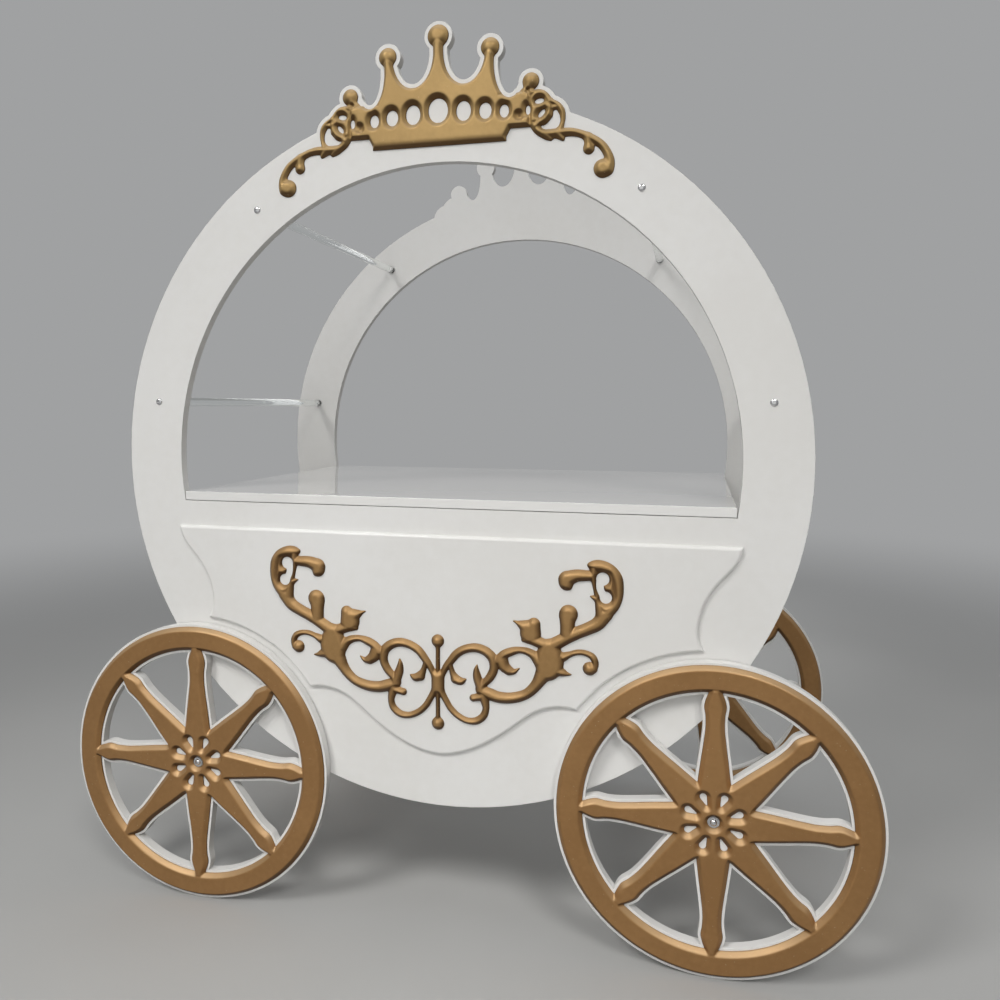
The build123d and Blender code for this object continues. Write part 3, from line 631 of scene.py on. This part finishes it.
SCROLL_BEADS = ((187.5, 111, 20), (261.5, 153.5, 18), (257, 221, 14.5), (302.5, 51, 13))
LOOP_EYES = ((326, 224.5, 12.5), (332, 189.5, 11.5))
LOOP_WAIST = ((321, 218, 7.5), (321.5, 206, 7), (326, 195, 7))
SCROLL_ROUND = 12
SCROLL_EASE = 3


def scroll_carving():
    work, loops = (Carving(*SCROLL_AREA, SCROLL_STEP) for _ in range(2))
    x, z = np.meshgrid(work.x, work.z, indexing="ij")
    work.inside = slab(x, z, *SPINDLE_BLOCK)
    work.stroke(((0, -SPINDLE_REACH, SPINDLE_HALF), (0, SPINDLE_REACH, SPINDLE_HALF)))
    for up in (-SPINDLE_REACH, SPINDLE_REACH):
        work.disc(0, up, SPINDLE_BALL)
    for band in SCROLL_STROKES:
        for stations in both(band):
            work.stroke(stations, SCROLL_EASE)
    for side in (-1, 1):
        for across, up, radius in SCROLL_BEADS:
            work.disc(side * across, up, radius, SCROLL_EASE)
        for across, up, radius in LOOP_EYES:
            loops.disc(side * across, up, radius, 1)
    for stations in both(LOOP_WAIST):
        loops.stroke(stations, 1)
    work.inside = np.minimum(work.inside, -loops.inside)
    work.lift(dome(work.inside / SCROLL_ROUND))
    work.soften(1)
    return work.outline()


# Wheel: the spoke's curve is (share of the way from hub to rim, half width)
WHEEL_OUTER, WHEEL_INNER = 293, 243
WHEEL_STEP = 1.8
HUB = 72
SPOKES = 8
SPOKE_CURVE = ((0, 30), (0.25, 24.8), (0.45, 20.2), (0.62, 17.3), (0.75, 17.8), (0.85, 20), (0.93, 16.8),
               (1, 12))
SPOKE_START, SPOKE_SPLAY, SPOKE_TIP = -0.3, 60, 12
HUB_LAP = 3.5
SPOKE_EDGE = 7.8
HUB_HOLE, HUB_DISH = 11, 7
PETAL_DISH = 9.2
PETAL_START, PETAL_LENGTH = 34.5, 15.5
PETAL_TIP, PETAL_SWELL = 1.7, 4.7
PETAL_DISCS = 24


def smooth_curve(stations, spots):
    """Values of a smooth curve through stations of (place, value)."""
    place, value = np.array(stations, float).T
    slope = np.gradient(value, place)
    k = np.clip(np.searchsorted(place, spots, "right") - 1, 0, len(place) - 2)
    run = place[k + 1] - place[k]
    t = np.clip((spots - place[k]) / run, 0, 1)
    return (value[k] * (2 * t**3 - 3 * t**2 + 1) + slope[k] * run * (t**3 - 2 * t**2 + t)
            + value[k + 1] * (3 * t**2 - 2 * t**3) + slope[k + 1] * run * (t**3 - t**2))


def wheel_carving():
    work = Carving((-WHEEL_OUTER, -WHEEL_OUTER), (WHEEL_OUTER, WHEEL_OUTER), WHEEL_STEP)
    x, z = np.meshgrid(work.x, work.z, indexing="ij")
    away, turn = np.hypot(x, z), np.arctan2(z, x)
    pitch = 2 * math.pi / SPOKES
    off = (turn + pitch / 2) % pitch - pitch / 2
    along, aside = away * np.cos(off), np.abs(away * np.sin(off))
    share = (along - HUB) / (WHEEL_INNER - HUB)
    half = smooth_curve(SPOKE_CURVE, np.clip(share, 0, 1))
    spoke = np.where(share > SPOKE_START, np.minimum(half + np.clip(-share, 0, 1) * SPOKE_SPLAY - aside,
                                                     WHEEL_INNER + SPOKE_TIP - along), FAR_OUTSIDE)
    rim = np.minimum(WHEEL_OUTER - away, away - WHEEL_INNER)
    area = np.maximum.reduce([rim, spoke, HUB + HUB_LAP - away])
    work.inside = area
    work.lift(chamfer(area / SPOKE_EDGE))
    work.cut(away - HUB_HOLE, HUB_DISH)
    petal = np.full(away.shape, np.inf)
    spin = (turn % pitch) - pitch / 2
    for step in np.linspace(0, 1, PETAL_DISCS):
        middle = PETAL_START + PETAL_LENGTH * step
        petal = np.minimum(petal, np.hypot(away * np.cos(spin) - middle, away * np.sin(spin))
                           - (PETAL_TIP + PETAL_SWELL * step))
    work.cut(petal, PETAL_DISH)
    work.soften(1)
    return work.outline()


# Each paint is (how light and yellow the gold is, on the crown partly painted light; how far up the sides the
# painted foot shade reaches).
CROWN_PAINT, SCROLL_PAINT, WHEEL_PAINT = (1.0, 0.2), (0.35, 1.05), (0.0, 0.16)
crown = relief_mesh("crown_carving", crown_carving(), (0, FRONT, CROWN_HEIGHT), RELIEF, CROWN_PAINT)
show("crown_carving", crown, "cart", "gold", "crown_relief")
scroll = relief_mesh("scroll_carving", scroll_carving(), (0, APRON_FRONT, SCROLL_HEIGHT), RELIEF,
                     SCROLL_PAINT)
show("scroll_carving", scroll, "cart", "gold", "scroll_relief")
wheel_drawn = wheel_carving()
for corner in CORNERS:
    low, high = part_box(f"{corner}_wheel_relief")
    middle = (low + high) / 2
    mesh = relief_mesh(f"{corner}_carving", wheel_drawn, (middle.x, high.y, middle.z), high.y - low.y,
                       WHEEL_PAINT)
    show(f"{corner}_carving", mesh, f"{corner}_wheel", "gold", f"{corner}_wheel_relief")


# Screws and bolts grown by geometry nodes


def fastener_tree():
    """Puts a domed screw with a hexagon socket at every point, turned along the point's aim."""
    tree = bpy.data.node_groups.new("fasteners", "GeometryNodeTree")
    tree.interface.new_socket("Geometry", in_out="INPUT", socket_type="NodeSocketGeometry")
    for name in ("Head Radius", "Head Height", "Shank Radius", "Shank Length", "Socket Radius"):
        tree.interface.new_socket(name, in_out="INPUT", socket_type="NodeSocketFloat")
    tree.interface.new_socket("Material", in_out="INPUT", socket_type="NodeSocketMaterial")
    tree.interface.new_socket("Geometry", in_out="OUTPUT", socket_type="NodeSocketGeometry")
    start = tree.nodes.new("NodeGroupInput").outputs

    def node(kind, settings=None, inputs=None, output=0):
        made = tree.nodes.new(kind)
        for key, value in (settings or {}).items():
            setattr(made, key, value)
        for key, value in (inputs or {}).items():
            if isinstance(value, bpy.types.NodeSocket):
                tree.links.new(value, made.inputs[key])
            else:
                made.inputs[key].default_value = value
        return made.outputs[output]

    def maths(operation, first, second=0.0):
        return node("ShaderNodeMath", {"operation": operation}, {0: first, 1: second})

    def lift(height):
        return node("ShaderNodeCombineXYZ", {}, {"Z": height})

    head = node("GeometryNodeMeshCone", {}, {"Vertices": 48, "Side Segments": 14, "Radius Top": 0.0003,
                                             "Radius Bottom": start["Head Radius"], "Depth": 1.0})
    spot = node("GeometryNodeInputPosition")
    flat = node("ShaderNodeVectorMath", {"operation": "MULTIPLY"}, {0: spot, 1: (1, 1, 0)})
    away = node("ShaderNodeVectorMath", {"operation": "LENGTH"}, {0: flat}, output=1)
    share = maths("DIVIDE", away, start["Head Radius"])
    fall = maths("SUBTRACT", 1.0, maths("MULTIPLY", share, share))
    dome = maths("MULTIPLY", maths("SQRT", maths("MAXIMUM", fall, 0.0)), start["Head Height"])
    base = node("FunctionNodeCompare", {"data_type": "FLOAT", "operation": "GREATER_THAN"},
                {0: node("ShaderNodeSeparateXYZ", {}, {0: spot}, output=2), 1: 0.0001})
    up = node("GeometryNodeSwitch", {"input_type": "FLOAT"}, {0: base, 1: 0.0, 2: dome})
    domed = node("GeometryNodeSetPosition", {}, {"Geometry": head, "Position": node(
        "ShaderNodeVectorMath", {"operation": "ADD"}, {0: flat, 1: lift(up)})})
    socket = node("GeometryNodeMeshCylinder", {}, {"Vertices": 6, "Radius": start["Socket Radius"],
                                                   "Depth": maths("MULTIPLY", start["Head Height"], 1.2)})
    socket = node("GeometryNodeTransform", {}, {
        "Geometry": socket, "Translation": lift(start["Head Height"])})
    capped = node("GeometryNodeMeshBoolean", {"operation": "DIFFERENCE", "solver": "EXACT"},
                  {"Mesh 1": domed, "Mesh 2": socket})
    shank = node("GeometryNodeMeshCylinder", {}, {"Vertices": 32, "Radius": start["Shank Radius"],
                                                  "Depth": start["Shank Length"]})
    shank = node("GeometryNodeTransform", {}, {
        "Geometry": shank, "Translation": lift(maths("MULTIPLY", start["Shank Length"], -0.5))})
    both_parts = tree.nodes.new("GeometryNodeJoinGeometry")
    tree.links.new(capped, both_parts.inputs[0])
    tree.links.new(shank, both_parts.inputs[0])
    aim = node("GeometryNodeInputNamedAttribute", {"data_type": "FLOAT_VECTOR"}, {"Name": "aim"})
    turned = node("FunctionNodeAlignRotationToVector", {"axis": "Z"}, {"Vector": aim})
    dots = node("GeometryNodeMeshToPoints", {}, {"Mesh": start["Geometry"]})
    placed = node("GeometryNodeInstanceOnPoints", {}, {"Points": dots, "Instance": both_parts.outputs[0],
                                                       "Rotation": turned})
    real = node("GeometryNodeRealizeInstances", {}, {"Geometry": placed})
    dressed = node("GeometryNodeSetMaterial", {}, {"Geometry": real, "Material": start["Material"]})
    tree.links.new(dressed, tree.nodes.new("NodeGroupOutput").inputs[0])
    return tree


FASTENERS = fastener_tree()


def grow(name, spots, values, body, slot, node):
    """Grows fasteners at spots of (place, aim) and keeps them as one plain mesh."""
    mesh = bpy.data.meshes.new(name)
    mesh.from_pydata([place for place, _ in spots], [], [])
    aims = mesh.attributes.new("aim", "FLOAT_VECTOR", "POINT")
    aims.data.foreach_set("vector", [value for _, aim in spots for value in aim])
    piece = bpy.data.objects.new(name, mesh)
    bpy.context.scene.collection.objects.link(piece)
    modifier = piece.modifiers.new("grow", "NODES")
    modifier.node_group = FASTENERS
    for item in FASTENERS.interface.items_tree:
        if item.in_out == "INPUT" and item.name in values:
            modifier[item.identifier] = values[item.name]
    grown = bpy.data.meshes.new_from_object(piece.evaluated_get(bpy.context.evaluated_depsgraph_get()))
    piece.modifiers.remove(modifier)
    piece.data = grown
    for face in grown.polygons:
        face.use_smooth = True
    grown.set_sharp_from_angle(angle=math.radians(40))
    wear(piece, slot)
    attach(piece, body)
    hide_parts(node)


BOLT_SUNK = 2.3 * MM

rod_spots = []
for rod in ("upper_left_rod", "upper_right_rod", "lower_left_rod", "lower_right_rod"):
    low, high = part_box(rod)
    middle = (low + high) / 2
    rod_spots.append(((middle.x, FRONT, middle.z), (0, -1, 0)))
    rod_spots.append(((middle.x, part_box("rear_board")[1].y, middle.z), (0, 1, 0)))
grow("rod_fasteners", rod_spots,
     {"Head Radius": 7.4 * MM, "Head Height": 3.5 * MM, "Shank Radius": 2.5 * MM, "Shank Length": 39 * MM,
      "Socket Radius": 3.1 * MM, "Material": MATERIALS["steel"]}, "cart", "steel", "rod_screws")
bolt_spots = []
for corner in CORNERS:
    low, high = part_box(f"{corner}_wheel_relief")
    middle = (low + high) / 2
    bolt_spots.append(((middle.x, high.y - BOLT_SUNK, middle.z), (0, -1, 0)))
bolt_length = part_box("axle_bolts")[1].y - max(place[1] for place, _ in bolt_spots)
grow("axle_fasteners", bolt_spots,
     {"Head Radius": 6.4 * MM, "Head Height": 4.4 * MM, "Shank Radius": 4 * MM, "Shank Length": bolt_length,
      "Socket Radius": 2.9 * MM, "Material": MATERIALS["steel"]}, "cart", "steel", "axle_bolts")


# Floor, light and camera


def plane(name, corners, material):
    mesh = bpy.data.meshes.new(name)
    mesh.from_pydata(corners, [], [list(range(len(corners)))])
    mesh.materials.append(material)
    piece = bpy.data.objects.new(name, mesh)
    bpy.context.scene.collection.objects.link(piece)
    piece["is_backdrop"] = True


FLOOR_HALF = 14
plane("floor", [(-FLOOR_HALF, -FLOOR_HALF, 0), (FLOOR_HALF, -FLOOR_HALF, 0),
                (FLOOR_HALF, FLOOR_HALF, 0), (-FLOOR_HALF, FLOOR_HALF, 0)], floor_paint())

world = bpy.data.worlds.new("studio")
bpy.context.scene.world = world
sky = Graph("studio", world)
glow = ROOM_LIGHT + (BACKDROP_SEEN - ROOM_LIGHT) * sky.seen()
room = sky.node("ShaderNodeBackground", {}, {"Color": BACKDROP, "Strength": glow})
sky.surface(room, "ShaderNodeOutputWorld")


def area_light(name, place, target, size, power, colour=(1, 1, 1), spread=180, mirrored=True):
    """A soft square light, which shows in glossy surfaces when it is mirrored."""
    light = bpy.data.lights.new(name, "AREA")
    light.size = size
    light.spread = math.radians(spread)
    light.energy = power
    light.color = colour
    lamp = bpy.data.objects.new(name, light)
    bpy.context.scene.collection.objects.link(lamp)
    lamp.visible_glossy = mirrored
    lamp.location = place
    lamp.rotation_euler = (Vector(target) - Vector(place)).to_track_quat("-Z", "Y").to_euler()


# Each light has its place, its target, its width, its watts, its colour and its spread in degrees
KEY_TINT, FRONT_TINT = (1.0, 0.985, 0.96), (1.0, 0.99, 0.97)
area_light("left_key", (-2.4, -4.0, 4.9), (-0.1, -1.2, 0.2), 1.6, 20, KEY_TINT, 60)
area_light("right_key", (2.2, -4.2, 5.0), (0.2, -1.2, 0.2), 1.6, 16, KEY_TINT, 60)
area_light("front", (-0.3, -3.2, 1.8), (0, -0.3, 0.9), 3.2, 17.5, FRONT_TINT)
area_light("back", (0.3, 3.6, 1.5), (0, 0.4, 1.0), 2.0, 17, spread=90, mirrored=False)
area_light("top", (0, -0.1, 4.4), (0, -0.1, 0), 3.0, 22)

YAW, PITCH, ROLL = 0.2334, 0.0546, 0.0025
lens = bpy.data.cameras.new("camera")
lens.sensor_width = 36
lens.lens = 29.17
lens.shift_x = -0.0029
lens.shift_y = -0.0503
lens.clip_start = 0.05
camera = bpy.data.objects.new("camera", lens)
bpy.context.scene.collection.objects.link(camera)
camera.matrix_world = (Matrix.Translation((0.492, FRONT - 1.524, DISC_HEIGHT + 0.107))
                       @ Matrix.Rotation(YAW, 4, "Z") @ Matrix.Rotation(math.pi / 2 - PITCH, 4, "X")
                       @ Matrix.Rotation(ROLL, 4, "Z"))
bpy.context.scene.camera = camera
bpy.context.scene.view_settings.view_transform = "Standard"

low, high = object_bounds()
